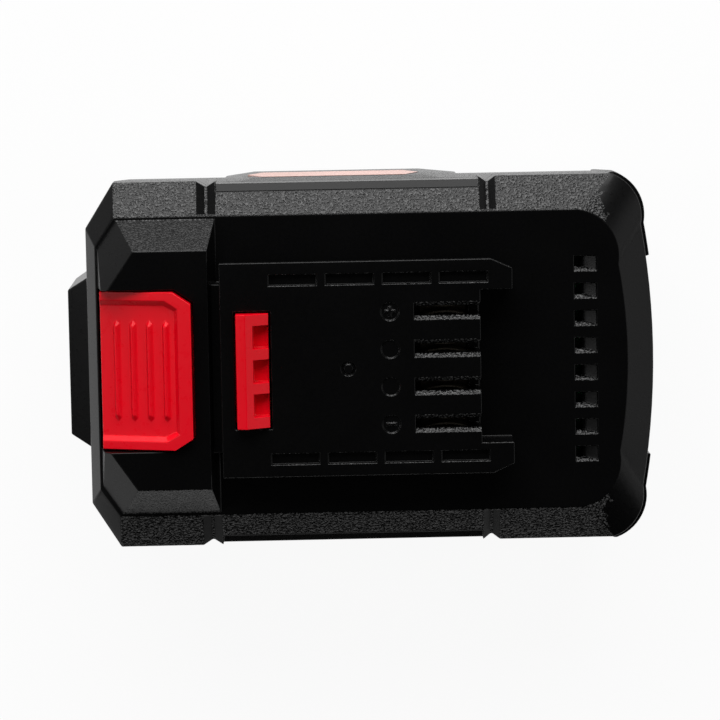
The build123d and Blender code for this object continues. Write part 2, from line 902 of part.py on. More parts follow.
def lower_shell():
    foot_face = housing_face(shoulder_side, base_edge, draft)
    walls = bridge(foot_face, housing_face(shoulder_side, split_height))
    body = bridge(housing_face(shoulder_side, 0, draft + base_edge), foot_face) + walls
    corner = bumper(walls, bumper_low, split_height)
    body += corner + mirrored(corner)
    cut_top = split_height + overrun
    side_cut = box(panel_front_x, panel_back_x, panel_half, pad_half + pad_root, pad_low, cut_top)
    pad = label_pad()
    for cut in [side_cut] + side_grooves():
        body -= cut
        body -= mirrored(cut)
    body += pad + mirrored(pad)
    body += nose()

    cavity = housing_slab(shoulder_side, floor_thickness, split_height + overrun, lower_wall)
    body -= cavity
    body -= bar(
        nose_x + nose_wall,
        front_end_x + 2 * lower_wall,
        nose_cavity_half,
        nose_cavity_low,
        nose_cavity_high,
    )
    lip_low = split_height - lip_height
    inside_skirt = housing_slab(shoulder_side, lip_low, boss_top, skirt_wall + seat_gap)
    lip_inside = skirt_wall + seat_gap + lip_thickness
    lip = inside_skirt - housing_slab(shoulder_side, lip_low - overrun, boss_top + overrun, lip_inside)
    body += lip
    for x, y in boss_places:
        body += post(x, y, boss_radius, floor_thickness / 2, split_height)
        body += post(x, y, boss_radius, split_height - lip_height, boss_top) & inside_skirt
        body -= post(x, y, head_hole_radius, -overrun, screw_head_low + housing_head_height)
        body -= post(x, y, housing_screw_radius + thread_gap, 0, boss_top + overrun)

    label_inner = pad_half - label_recess
    body -= along_y_label(label_inner, pad_half + overrun)
    body -= along_y_label(-pad_half - overrun, -label_inner)
    body -= bar(
        -rating_label_length / 2 - seat_gap,
        rating_label_length / 2 + seat_gap,
        rating_label_width / 2 + seat_gap,
        -overrun,
        rating_label_recess,
    )
    body -= gauge_openings()
    return body


def along_y_label(y0, y1, shrink=0.0):
    """Side label outline with tapered ends, as a slab between two Y values."""
    middle = (label_low + label_high) / 2
    label_front = panel_front_x + label_front_run
    label_back = panel_back_x - label_back_run
    points = [
        (label_front + shrink, middle),
        (label_front + label_taper, label_high - shrink),
        (label_back - label_taper, label_high - shrink),
        (label_back - shrink, middle),
        (label_back - label_taper, label_low + shrink),
        (label_front + label_taper, label_low + shrink),
    ]
    return along_y(points, y0, y1)


def gauge_disc(radius, x0, x1):
    """Disc across the gauge button's axis."""
    place = Pos((x0 + x1) / 2, gauge_button_y, gauge_centre_z)
    return place * Rot(0, 90, 0) * Cylinder(radius, x1 - x0)


def gauge_openings():
    """Holes in the nose's front for the gauge window and its button."""
    inner = nose_x + nose_wall + overrun
    hole = box(
        nose_x - overrun,
        inner,
        window_centre_y - window_half,
        window_centre_y + window_half,
        gauge_centre_z - window_height / 2,
        gauge_centre_z + window_height / 2,
    )
    hole += gauge_disc(gauge_button_radius + gauge_button_gap, nose_x - overrun, inner)
    hole += gauge_disc(gauge_dish_radius, nose_x - overrun, nose_x + gauge_dish_depth)
    return hole


def gauge_window():
    """Clear window: a face in the hole and a flange behind the wall."""
    half = window_half - seat_gap
    rise = window_height / 2 - seat_gap
    front = nose_x + seat_gap
    back = gauge_flange_x
    pane = box(
        front,
        back,
        window_centre_y - half,
        window_centre_y + half,
        gauge_centre_z - rise,
        gauge_centre_z + rise,
    )
    flange = box(
        back,
        back + window_flange_thickness,
        window_centre_y - half - window_flange,
        window_centre_y + half - window_flange / 2,
        gauge_centre_z - rise - window_flange,
        gauge_centre_z + rise + window_flange,
    )
    return pane + flange


def gauge_button():
    """Small button with a retaining flange and a stem that reaches the switch."""
    flange_back = gauge_flange_x + gauge_button_flange
    shape = gauge_disc(gauge_button_radius, nose_x, flange_back)
    shape += gauge_disc(gauge_button_radius + gauge_button_flange, gauge_flange_x, flange_back)
    shape += gauge_disc(gauge_button_stem_radius, flange_back, flange_back + gauge_button_stem)
    return shape


def gauge_board():
    """The gauge's board and the switch on its front."""
    front = gauge_board_x
    plate = bar(
        front,
        front + gauge_board_thickness,
        gauge_board_half,
        gauge_centre_z - gauge_board_height / 2,
        gauge_centre_z + gauge_board_height / 2,
    )
    size = switch_size
    switch = box(
        front - size[0],
        front,
        gauge_button_y - size[1] / 2,
        gauge_button_y + size[1] / 2,
        gauge_centre_z - size[2] / 2,
        gauge_centre_z + size[2] / 2,
    )
    return plate, switch


def gauge_lamps():
    front = gauge_board_x
    size = lamp_size
    lamps = Part()
    for i in range(lamp_count):
        y = window_centre_y + lamp_pitch * (i - (lamp_count - 1) / 2)
        lamps += box(
            front - size[0],
            front,
            y - size[1] / 2,
            y + size[1] / 2,
            gauge_centre_z - size[2] / 2,
            gauge_centre_z + size[2] / 2,
        )
    return lamps


def button_top(x):
    """Height of the button's sloped face at x."""
    share = (x - button_front_x) / (button_back_x - button_front_x)
    return button_low_height + share * (button_high_height - button_low_height)


def under_button_face(sink):
    """Everything below the button's sloped face, sunk by a depth."""
    reach = overrun
    points = [
        (button_front_x - reach, latch_low - reach),
        (button_back_x + reach, latch_low - reach),
        (button_back_x + reach, button_top(button_back_x + reach) - sink),
        (button_front_x - reach, button_top(button_front_x - reach) - sink),
    ]
    return along_y(points, -button_half - reach, button_half + reach)


def on_button_face(x, sink, shape):
    """Lay a shape on the button's sloped face at x, sunk by a depth."""
    slope = math.degrees(math.atan2(button_high_height - button_low_height, button_back_x - button_front_x))
    return Pos(x, 0, button_top(x) - sink) * Rot(0, -slope, 0) * shape


def finger_dish():
    """Shallow dish in the button's face, open at the nose end, with sloping walls."""
    run = button_back_x - button_front_x
    mouth = [
        (-overrun, button_half - button_rim),
        (run - button_corner_x - button_rim / 2, button_half - button_rim),
        (run - button_rim, button_half - button_corner_y - button_rim / 2),
    ]
    slope = button_dish_slope
    floor = [
        (-overrun, button_half - button_rim - slope),
        (run - button_corner_x - button_rim / 2 - slope / 2, button_half - button_rim - slope),
        (run - button_rim - slope, button_half - button_corner_y - button_rim / 2 - slope / 2),
    ]
    dish = bridge(outline(both_sides(floor), -button_dish), outline(both_sides(mouth)))
    dish += prism(both_sides(mouth), 0, 2 * overrun)
    return on_button_face(button_front_x, 0, dish)


def finger_ribs():
    """Hipped ribs across the button's dished face."""
    ribs = []
    for i in range(rib_count):
        x = button_front_x + rib_first_run + rib_pitch * i
        foot = [
            (-rib_width / 2, rib_half - rib_width / 2),
            (0, rib_half),
            (rib_width / 2, rib_half - rib_width / 2),
        ]
        crest = [
            (-rib_crest / 2, rib_half - rib_width),
            (0, rib_half - rib_width + rib_crest / 2),
            (rib_crest / 2, rib_half - rib_width),
        ]
        rib = bridge(outline(both_sides(foot), -rib_height / 2), outline(both_sides(crest), rib_height))
        ribs.append(on_button_face(x, button_dish, rib))
    return ribs


def release_latch():
    flange_low = latch_low
    body = prism(button_outline(), flange_low, button_high_height + overrun) & under_button_face(0)
    body -= finger_dish()
    for rib in finger_ribs():
        body += rib
    body += bar(latch_flange_front_x, latch_flange_back_x, latch_flange_half, flange_low, latch_bar_top)
    body += bar(latch_flange_back_x, hook_back_x, latch_bar_half, flange_low, latch_bar_top)
    profile = [
        (hook_front_x, flange_low),
        (hook_front_x, hook_height - hook_catch_drop),
        (hook_crest_x, hook_height),
        (hook_back_x, hook_back_height),
        (hook_back_x, flange_low),
    ]
    hook = along_y(profile, -hook_half, hook_half)
    for i in range(hook_pocket_count):
        y = hook_pocket_pitch * (i - (hook_pocket_count - 1) / 2)
        hook -= box(
            hook_back_x - hook_pocket_run,
            hook_back_x + overrun,
            y - hook_pocket_width / 2,
            y + hook_pocket_width / 2,
            hook_pocket_floor,
            hook_height + overrun,
        )
    body += hook
    for side in (-1, 1):
        y = side * spring_half_pitch
        body -= post(spring_x, y, spring_pocket_radius, flange_low - overrun, spring_pocket_roof)
    return body


def latch_springs():
    low = retainer_top + spring_wire / 2 + seat_gap
    high = spring_pocket_roof - spring_wire / 2 - seat_gap
    springs = []
    for side in (-1, 1):
        path = Helix(pitch=(high - low) / spring_turns, height=high - low, radius=spring_mean_radius)
        start = Plane(origin=path @ 0, z_dir=path % 0)
        coil = sweep(start * Circle(spring_wire / 2), path=path, is_frenet=True)
        springs.append(Pos(spring_x, side * spring_half_pitch, low) * coil)
    return springs


def screw(radius, length, head_radius, head_height, socket=True):
    """Screw pointing up, with the underside of its head at the origin and a hexagon socket."""
    tip = radius
    shape = Pos(0, 0, (length - tip) / 2) * Cylinder(radius, length - tip)
    shape += Pos(0, 0, length - tip / 2) * Cone(radius, radius / 3, tip)
    shape += Pos(0, 0, -head_height / 2) * Cylinder(head_radius, head_height)
    if socket:
        depth = head_height * socket_depth_share
        cut = extrude(RegularPolygon(head_radius * socket_radius_share, 6), amount=depth)
        shape -= Pos(0, 0, -head_height) * cut
    return shape


def latch_retainer():
    plate = bar(retainer_front_x, retainer_back_x, retainer_half, retainer_low, retainer_top)
    for x, y in retainer_screws:
        plate += post(x, y, retainer_ear_radius, retainer_low, retainer_top)
    for x, y in retainer_screws:
        plate -= post(x, y, small_screw_radius + thread_gap, retainer_low - overrun, retainer_top + overrun)
    return plate


def retainer_screw_set():
    one = screw(small_screw_radius, small_screw_length, small_head_radius, small_head_height)
    return Part() + [Pos(x, y, retainer_low) * one for x, y in retainer_screws]


def cell(x, z, positive_up):
    """Round cell along Y with a crimp groove and a raised cap at its positive end."""
    turn = Rot(-90, 0, 0) if positive_up else Rot(90, 0, 0)
    body = Cylinder(cell_radius, cell_length - cell_cap_height)
    groove_at = cell_length / 2 - cell_cap_height / 2 - cell_crimp_from_end
    groove = Cylinder(cell_radius + overrun, cell_crimp_width)
    groove -= Cylinder(cell_radius - cell_crimp_depth, cell_crimp_width)
    body -= Pos(0, 0, groove_at) * groove
    cap_at = cell_length / 2 - cell_cap_height
    body += Pos(0, 0, cap_at) * Cylinder(cell_cap_radius, cell_cap_height)
    shifted = Pos(0, 0, -cell_cap_height / 2) * body
    return Pos(x, 0, z) * turn * shifted


def cell_frame():
    """Frame on the +Y ends of the cells."""
    inner = frame_outer - frame_depth
    frame = box(frame_front_x, frame_back_x, inner, frame_outer, frame_low, frame_top)
    for x in cell_xs:
        for z in cell_layers:
            hole = Cylinder(cell_radius + cell_fit_gap, frame_depth + 2 * overrun)
            frame -= Pos(x, frame_outer - frame_depth / 2, z) * Rot(90, 0, 0) * hole
    for x in board_screw_xs:
        hole_low = board_top - small_screw_length
        frame -= post(x, board_screw_half, small_screw_radius + thread_gap, hole_low, frame_top + overrun)
    return frame


def strip(columns, side, tab_x):
    """Nickel strip over one or two columns of cells, with a tab folded over the board."""
    inner = side * cell_end
    outer = side * (cell_end + strip_thickness)
    y0, y1 = min(inner, outer), max(inner, outer)
    low = cell_layers[0] - strip_cap_margin
    high = cell_layers[1] + strip_cap_margin
    shape = Part()
    for column in columns:
        x = cell_xs[column]
        shape += box(x - strip_width / 2, x + strip_width / 2, y0, y1, low, high)
    if len(columns) > 1:
        for z in cell_layers:
            half = strip_width / 2
            shape += box(cell_xs[columns[0]], cell_xs[columns[-1]], y0, y1, z - half, z + half)
    foot_low = board_top
    foot_high = board_top + strip_thickness
    half_tab = strip_tab_width / 2
    reach = [cell_xs[column] for column in columns] + [tab_x - half_tab, tab_x + half_tab]
    shape += box(min(reach), max(reach), y0, y1, cell_layers[1] - half_tab, cell_layers[1] + half_tab)
    shape += box(tab_x - half_tab, tab_x + half_tab, y0, y1, cell_layers[1], foot_high)
    foot_inner = side * (board_half - strip_tab_foot)
    f0, f1 = min(foot_inner, outer), max(foot_inner, outer)
    shape += box(tab_x - half_tab, tab_x + half_tab, f0, f1, foot_low, foot_high)
    return shape


def insulator(side):
    inner = cell_end + strip_thickness + seat_gap
    y0 = side * inner
    y1 = side * (inner + insulator_thickness)
    low = floor_thickness + seat_gap
    return box(frame_front_x, frame_back_x, min(y0, y1), max(y0, y1), low, frame_top)


def protection_board():
    board = bar(board_front_x, board_back_x, board_half, board_low, board_top)
    for x in board_screw_xs:
        for side in (-1, 1):
            hole = small_screw_radius + thread_gap
            board -= post(x, side * board_screw_half, hole, board_low - overrun, board_top + overrun)
    return board


def board_screw_set():
    length = small_screw_length - seat_gap
    one = Rot(180, 0, 0) * screw(small_screw_radius, length, small_head_radius, small_head_height)
    places = [(x, side * board_screw_half) for x in board_screw_xs for side in (-1, 1)]
    return Part() + [Pos(x, y, board_top) * one for x, y in places]


def on_board(x, y, size):
    length, width, height = size
    return Pos(x, y, board_top + height / 2) * Box(length, width, height)


def power_transistors():
    first = -transistor_pitch * (transistor_count - 1) / 2
    places = [first + transistor_pitch * i for i in range(transistor_count)]
    return Part() + [on_board(transistor_x, y, transistor_size) for y in places]


def board_capacitors():
    places = [capacitor_first_x + capacitor_pitch * i for i in range(capacitor_count)]
    return Part() + [on_board(x, capacitor_y, capacitor_size) for x in places]


def terminal_block():
    front = slot_front_x - terminal_block_front_run
    back = plate_mouth_x - terminal_block_back_run
    return bar(front, back, terminal_block_half, board_top, terminal_block_top)


def contact(y):
    """Sprung contact: two leaves that bulge towards each other over a foot."""
    middle = (contact_front_x + contact_back_x) / 2
    outer = contact_spread
    near = contact_spread - contact_bulge
    leaf_edge = [
        ThreePointArc((contact_front_x, outer), (middle, near), (contact_back_x, outer)),
        Line((contact_back_x, outer), (contact_back_x, outer + contact_leaf)),
        ThreePointArc(
            (contact_back_x, outer + contact_leaf),
            (middle, near + contact_leaf),
            (contact_front_x, outer + contact_leaf),
        ),
        Line((contact_front_x, outer + contact_leaf), (contact_front_x, outer)),
    ]
    foot_high = terminal_block_top + contact_foot
    leaf = Pos(0, 0, terminal_block_top) * extrude(
        make_face(leaf_edge), amount=contact_top_height - terminal_block_top
    )
    foot = bar(contact_front_x, contact_back_x, outer + contact_leaf, terminal_block_top, foot_high)
    return Pos(0, y, 0) * (leaf + mirrored(leaf) + foot)


def housing_screw_set():
    one = screw(housing_screw_radius, housing_screw_length, housing_head_radius, housing_head_height)
    head_under = screw_head_low + housing_head_height
    return Part() + [Pos(x, y, head_under) * one for x, y in boss_places]


def temperature_sensor():
    """Bead in the valley between two upper cells, with two legs that rise to the board."""
    reach = cell_radius + sensor_radius + seat_gap
    rise = math.sqrt(reach**2 - (cell_pitch / 2) ** 2)
    x = (cell_xs[1] + cell_xs[2]) / 2
    z = cell_layers[1] + rise
    shape = Pos(x, sensor_y, z) * Rot(90, 0, 0) * Cylinder(sensor_radius, sensor_length)
    for side in (-1, 1):
        y = sensor_y + side * (sensor_length / 2 - 2 * sensor_wire)
        shape += post(x, y, sensor_wire, z, board_low)
    return shape


def gauge_lead():
    """Flat lead from the gauge board, up behind the front wall and onto the protection board."""
    half = lead_width / 2
    turn_x = frame_front_x - lead_gap
    low = gauge_centre_z + lead_rise
    top = board_top + lead_thickness
    shape = bar(gauge_board_x + gauge_board_thickness, turn_x, half, low, low + lead_thickness)
    shape += bar(turn_x - lead_thickness, turn_x, half, low, top)
    shape += bar(turn_x - lead_thickness, board_front_x + lead_lap, half, board_top, top)
    return shape


upper = upper_shell()
write("upper_shell", upper)
write("lower_shell", lower_shell())
write("release_latch", release_latch())
write("latch_springs", Compound(children=[s.solid() for s in latch_springs()]), 2)
write("latch_retainer", latch_retainer())
write("retainer_screws", retainer_screw_set(), len(retainer_screws))

for column, x in enumerate(cell_xs):
    for layer, z in enumerate(cell_layers):
        name = "cell_" + str(column * len(cell_layers) + layer + 1).zfill(2)
        write(name, cell(x, z, column % 2 == 0))

frame_right = cell_frame()
write("cell_frame_right", frame_right)
write("cell_frame_left", mirrored(frame_right))
strip_sets = [
    ((0,), 1, board_front_x + strip_tab_width / 2 + seat_gap),
    ((1, 2), 1, (cell_xs[1] + cell_xs[2]) / 2),
    ((3, 4), 1, cell_xs[3]),
    ((0, 1), -1, cell_xs[1]),
    ((2, 3), -1, (cell_xs[2] + cell_xs[3]) / 2),
    ((4,), -1, cell_xs[4]),
]
for number, (columns, side, tab_x) in enumerate(strip_sets):
    write("nickel_strip_" + str(number + 1), strip(columns, side, tab_x))
write("insulator_right", insulator(1))
write("insulator_left", insulator(-1))
base_pad_half = frame_outer - frame_depth - seat_gap
base_pad_top = floor_thickness + base_pad_thickness
write("base_pad", bar(frame_front_x, frame_back_x, base_pad_half, floor_thickness, base_pad_top))

write("protection_board", protection_board())
write("board_screws", board_screw_set(), 2 * len(board_screw_xs))
write("power_transistors", power_transistors(), transistor_count)
write("control_chip", on_board(chip_x, chip_y, chip_size))
write("current_shunt", on_board(shunt_x, shunt_y, shunt_size))
write("board_capacitors", board_capacitors(), capacitor_count)
write("terminal_block", terminal_block())
for number, y in enumerate(reversed(slot_ys)):
    write("contact_" + str(number + 1), contact(y))
write("housing_screws", housing_screw_set(), len(boss_places))

write("gauge_window", gauge_window())
write("gauge_button", gauge_button())
plate, switch = gauge_board()
write("gauge_board", plate)
write("gauge_switch", switch)
write("gauge_lamps", gauge_lamps(), lamp_count)
write("gauge_lead", gauge_lead())
write("temperature_sensor", temperature_sensor())

label_inner = pad_half - label_recess
label_outer = label_inner + label_thickness
write("side_label_right", along_y_label(label_inner, label_outer, seat_gap))
write("side_label_left", along_y_label(-label_outer, -label_inner, seat_gap))
write(
    "rating_label",
    bar(
        -rating_label_length / 2,
        rating_label_length / 2,
        rating_label_width / 2,
        rating_label_recess - label_thickness,
        rating_label_recess,
    ),
)
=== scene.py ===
import math

import bmesh
import bpy
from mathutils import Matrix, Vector
from mathutils.bvhtree import BVHTree


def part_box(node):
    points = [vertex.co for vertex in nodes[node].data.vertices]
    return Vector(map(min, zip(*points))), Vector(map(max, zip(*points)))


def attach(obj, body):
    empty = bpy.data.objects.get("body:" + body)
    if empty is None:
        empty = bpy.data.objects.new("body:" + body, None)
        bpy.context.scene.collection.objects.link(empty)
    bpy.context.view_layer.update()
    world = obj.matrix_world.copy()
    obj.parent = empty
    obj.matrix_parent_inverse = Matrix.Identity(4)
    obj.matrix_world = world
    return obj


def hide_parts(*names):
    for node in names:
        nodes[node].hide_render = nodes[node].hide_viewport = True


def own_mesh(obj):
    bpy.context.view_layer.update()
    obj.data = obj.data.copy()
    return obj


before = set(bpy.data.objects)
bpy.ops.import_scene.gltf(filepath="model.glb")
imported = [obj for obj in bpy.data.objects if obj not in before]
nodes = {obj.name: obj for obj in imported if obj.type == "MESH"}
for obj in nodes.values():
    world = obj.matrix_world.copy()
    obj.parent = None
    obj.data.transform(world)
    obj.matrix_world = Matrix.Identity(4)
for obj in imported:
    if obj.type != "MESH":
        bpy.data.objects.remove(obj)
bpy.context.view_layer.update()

# Slide-on battery pack for cordless power tools. Metres, X from the nose under the button to the
# vented end, Y across, Z up from the base. The sections go from the lower housing to the latch.
MM = 0.001


# Lower housing. Glass-filled nylon, moulded black in one shot. Spark erosion grains its side walls
# in the mould, and the corner facets are left satin. Four long screws pull it up to the lid.
weld_gap = 0.002 * MM
flat_angle = math.radians(0.1)
edge_angle = math.radians(24.0)
edge_segments = 3
stray_share = 0.6
facet_weight = 80


def rounded_copy(node, name, width):
    """Copy of a CAD piece with its flat facets merged and its edges rounded, as a mould leaves them."""
    mesh = bpy.data.meshes.new(name)
    bm = bmesh.new()
    bm.from_mesh(nodes[node].data)
    bmesh.ops.remove_doubles(bm, verts=bm.verts, dist=weld_gap)
    bmesh.ops.dissolve_limit(bm, angle_limit=flat_angle, verts=bm.verts, edges=bm.edges)
    bmesh.ops.connect_verts_concave(bm, faces=bm.faces)
    flat_faces = BVHTree.FromBMesh(bm)
    sharp = [e for e in bm.edges if len(e.link_faces) == 2 and e.calc_face_angle(0) > edge_angle]
    bmesh.ops.bevel(
        bm,
        geom=sharp,
        offset=width,
        offset_type="OFFSET",
        affect="EDGES",
        segments=edge_segments,
        profile=0.5,
        material=-1,
        clamp_overlap=False,
        harden_normals=False,
    )
    for vertex in bm.verts:
        nearest, _, _, distance = flat_faces.find_nearest(vertex.co)
        if distance > stray_share * width:
            vertex.co = nearest
    for face in bm.faces:
        face.smooth = True
    bm.to_mesh(mesh)
    bm.free()
    piece = bpy.data.objects.new(name, mesh)
    bpy.context.scene.collection.objects.link(piece)
    weighted = piece.modifiers.new("flat_facets", "WEIGHTED_NORMAL")
    weighted.mode = "FACE_AREA_WITH_ANGLE"
    weighted.weight = facet_weight
    return piece


def finish_material(name, colour, roughness, metallic=0.0):
    """A material, its node tree and its shader."""
    material = bpy.data.materials.new(name)
    material.use_nodes = True
    tree = material.node_tree
    shader = tree.nodes["Principled BSDF"]
    shader.inputs["Base Color"].default_value = (*colour, 1.0)
    shader.inputs["Roughness"].default_value = roughness
    shader.inputs["Metallic"].default_value = metallic
    return material, tree, shader


def own_place(tree, stretch=(1.0, 1.0, 1.0)):
    """The piece's own coordinates, drawn out along an axis where a stretch is under 1."""
    place = tree.nodes.new("ShaderNodeTexCoord")
    mapping = tree.nodes.new("ShaderNodeMapping")
    mapping.inputs["Scale"].default_value = stretch
    tree.links.new(place.outputs["Object"], mapping.inputs["Vector"])
    return mapping.outputs["Vector"]


def noise(tree, per_metre, detail=2.0, stretch=(1.0, 1.0, 1.0)):
    """Noise with so many grains a metre."""
    node = tree.nodes.new("ShaderNodeTexNoise")
    node.inputs["Scale"].default_value = per_metre
    node.inputs["Detail"].default_value = detail
    tree.links.new(own_place(tree, stretch), node.inputs["Vector"])
    return node.outputs["Fac"]


def spread(tree, source, low, high, start=0.3, end=0.7):
    """Value that runs from low to high while its source runs from start to end."""
    node = tree.nodes.new("ShaderNodeMapRange")
    node.inputs["From Min"].default_value = start
    node.inputs["From Max"].default_value = end
    node.inputs["To Min"].default_value = low
    node.inputs["To Max"].default_value = high
    tree.links.new(source, node.inputs["Value"])
    return node.outputs["Result"]


def blend_colours(tree, source, first, second):
    """Colour between two, led by a value."""
    node = tree.nodes.new("ShaderNodeMix")
    node.data_type = "RGBA"
    node.inputs["A"].default_value = (*first, 1.0)
    node.inputs["B"].default_value = (*second, 1.0)
    tree.links.new(source, node.inputs["Factor"])
    return node.outputs["Result"]


def relief(tree, shader, source, depth):
    """Surface relief of a depth in metres."""
    bump = tree.nodes.new("ShaderNodeBump")
    bump.inputs["Strength"].default_value = 1.0
    bump.inputs["Distance"].default_value = depth
    tree.links.new(source, bump.inputs["Height"])
    tree.links.new(bump.outputs["Normal"], shader.inputs["Normal"])


def plain_finish(name, dark, light, roughness, patch, grain, depth, metallic=0.0, stretch=(1, 1, 1)):
    """Finish whose colour drifts in patches, with a fine grain that roughens and lifts it."""
    material, tree, shader = finish_material(name, dark, roughness[0], metallic)
    drift = spread(tree, noise(tree, patch), 0.0, 1.0)
    tree.links.new(blend_colours(tree, drift, dark, light), shader.inputs["Base Color"])
    fine = noise(tree, grain, 2.0, stretch)
    tree.links.new(spread(tree, fine, *roughness), shader.inputs["Roughness"])
    relief(tree, shader, fine, depth)
    return material


def dress(piece, *materials):
    piece.data.materials.clear()
    for material in materials:
        piece.data.materials.append(material)


def finish_faces(piece, choose):
    """Gives each face the finish that choose names, from its centre in millimetres and its normal."""
    for face in piece.data.polygons:
        face.material_index = int(choose(face.center / MM, face.normal))


nylon_dark = (0.0011, 0.0011, 0.0012)
nylon_light = (0.0018, 0.0018, 0.0019)
satin_nylon = plain_finish("satin_nylon", nylon_dark, nylon_light, (0.27, 0.31), 60, 1600, 0.004 * MM)
satin_nylon.node_tree.nodes["Principled BSDF"].inputs["Specular IOR Level"].default_value = 0.2


def eroded_nylon(name, painted_glint, gloss, depth):
    """Nylon with the grain of the spark-eroded mould, whose peaks are painted light in the base colour as
    painted glints.
    """
    material, tree, shader = finish_material(name, nylon_dark, 0.3)
    shader.inputs["Specular IOR Level"].default_value = gloss
    grains = noise(tree, 2600, 0.5)
    glint_spots = spread(tree, grains, 0.0, 1.0, 0.5, 0.7)
    # Painted highlight: the grain peaks take the light glint colour in place of glints of light off the
    # grain.
    tree.links.new(blend_colours(tree, glint_spots, nylon_dark, painted_glint), shader.inputs["Base Color"])
    tree.links.new(spread(tree, grains, 0.22, 0.4), shader.inputs["Roughness"])
    relief(tree, shader, grains, depth)
    return material


# The light grey here is a painted highlight: glints painted on the grain peaks of the side walls and
# shoulders.
grain_glint_nylon = eroded_nylon("grain_glint_nylon", (0.09, 0.09, 0.09), 0.3, 0.24 * MM)


side_wall_inner = 34.0
upright = 0.9


def on_side_wall(centre, normal):
    """Upright walls that face across the pack."""
    return abs(normal.y) > upright and abs(centre.y) > side_wall_inner


lower_cover = rounded_copy("lower_shell", "lower_cover", 0.25 * MM)
dress(lower_cover, satin_nylon, grain_glint_nylon)
finish_faces(lower_cover, on_side_wall)
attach(lower_cover, "pack")
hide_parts("lower_shell")

# Cell pad. Strip of closed-cell foam, cut to size and laid on the floor of the lower housing, where
# it takes up what the cells leave free.
foam, tree, shader = finish_material("cell_foam", (0.03, 0.03, 0.032), 0.9)
bubbles = tree.nodes.new("ShaderNodeTexVoronoi")
bubbles.inputs["Scale"].default_value = 1800
tree.links.new(own_place(tree), bubbles.inputs["Vector"])
# Painted shade: each bubble pit is coloured darker towards its centre, where shade falls in the hollow.
shade = spread(tree, bubbles.outputs["Distance"], 0.0, 1.0, 0.0, 0.6)
foam_colour = blend_colours(tree, shade, (0.016, 0.016, 0.017), (0.05, 0.05, 0.052))
tree.links.new(foam_colour, shader.inputs["Base Color"])
relief(tree, shader, bubbles.outputs["Distance"], 0.2 * MM)
dress(nodes["base_pad"], foam)

# Cells. Drawn steel cans in a shrunk vinyl sleeve, with a nickel-plated cap on a white paper ring at
# the plus end. Each pair stands side by side, and neighbours turn end for end.
cap_radius = 4.2
sleeve_radius = 8.9
facing = 0.5
cell_sleeve = plain_finish(
    "cell_sleeve", (0.01, 0.11, 0.12), (0.016, 0.15, 0.16), (0.22, 0.34), 90, 700, 0.01 * MM,
    stretch=(1, 0.15, 1),
)
cell_steel = plain_finish(
    "cell_steel", (0.52, 0.51, 0.49), (0.66, 0.65, 0.63), (0.2, 0.36), 200, 2400, 0.003 * MM, 1.0
)
ring_paper = plain_finish(
    "ring_paper", (0.72, 0.71, 0.67), (0.82, 0.81, 0.78), (0.8, 0.95), 300, 4000, 0.01 * MM
)
for number in range(1, 11):
    cell = nodes["cell_%02d" % number]
    low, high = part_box("cell_%02d" % number)
    middle = (low + high) / 2 / MM
    plus_end = 1 if high.y > -low.y else -1

    def cell_finish(centre, normal):
        """Sleeve on the can, steel on both poles, and paper round the plus pole."""
        radius = math.hypot(centre.x - middle.x, centre.z - middle.z)
        if abs(normal.y) < facing and radius > cap_radius or radius > sleeve_radius:
            return 0
        if radius > cap_radius and centre.y * plus_end > 0:
            return 2
        return 1

    dress(cell, cell_sleeve, cell_steel, ring_paper)
    finish_faces(cell, cell_finish)

# Cell frames. A pair of ribbed combs in grey flame-retardant plastic, pushed over the ends of the
# cells to hold their pitch.
frame_plastic = plain_finish(
    "frame_plastic", (0.17, 0.175, 0.18), (0.2, 0.205, 0.21), (0.42, 0.55), 80, 2200, 0.008 * MM
)
for side in ("right", "left"):
    dress(nodes["cell_frame_" + side], frame_plastic)

# Nickel strips. Rolled strip, punched out and spot-welded across the pairs, with tails that fold
# over to the board. The rolling marks run along the pack.
strip_nickel = plain_finish(
    "strip_nickel", (0.56, 0.53, 0.48), (0.70, 0.67, 0.62), (0.18, 0.38), 260, 5200, 0.003 * MM,
    metallic=1.0, stretch=(0.06, 1, 1),
)
for number in range(1, 7):
    dress(nodes["nickel_strip_%d" % number], strip_nickel)

# Insulators. Sheets of green vulcanised paper, cut with the frames' outline and stuck over the
# strips, so that nothing live touches the housing.
barrier_paper = plain_finish(
    "barrier_paper", (0.055, 0.13, 0.10), (0.075, 0.165, 0.13), (0.6, 0.78), 150, 3000, 0.012 * MM,
    stretch=(0.2, 1, 1),
)
for side in ("right", "left"):
    dress(nodes["insulator_" + side], barrier_paper)

# Protection board. Glass-fibre board with copper under green varnish, and raw at its sawn edges.
# Four screws fix it to the bosses of the lower housing.
copper_runs, tree, shader = finish_material("varnished_board", (0.008, 0.10, 0.035), 0.28)
runs = tree.nodes.new("ShaderNodeTexBrick")
runs.inputs["Scale"].default_value = 1.0
runs.inputs["Brick Width"].default_value = 9 * MM
runs.inputs["Row Height"].default_value = 2.2 * MM
runs.inputs["Mortar Size"].default_value = 0.35 * MM
runs.inputs["Mortar Smooth"].default_value = 0.1
tree.links.new(own_place(tree), runs.inputs["Vector"])
board_colour = blend_colours(tree, runs.outputs["Fac"], (0.012, 0.15, 0.05), (0.006, 0.07, 0.026))
tree.links.new(board_colour, shader.inputs["Base Color"])
tree.links.new(spread(tree, noise(tree, 500), 0.22, 0.34), shader.inputs["Roughness"])
relief(tree, shader, runs.outputs["Fac"], 0.03 * MM)
sawn_fibre = plain_finish(
    "sawn_fibre", (0.42, 0.36, 0.16), (0.55, 0.49, 0.26), (0.6, 0.8), 300, 3500, 0.02 * MM
)
for board in ("protection_board", "gauge_board"):
    dress(nodes[board], copper_runs, sawn_fibre)
finish_faces(nodes["protection_board"], lambda centre, normal: abs(normal.z) < facing)
finish_faces(nodes["gauge_board"], lambda centre, normal: abs(normal.x) < facing)

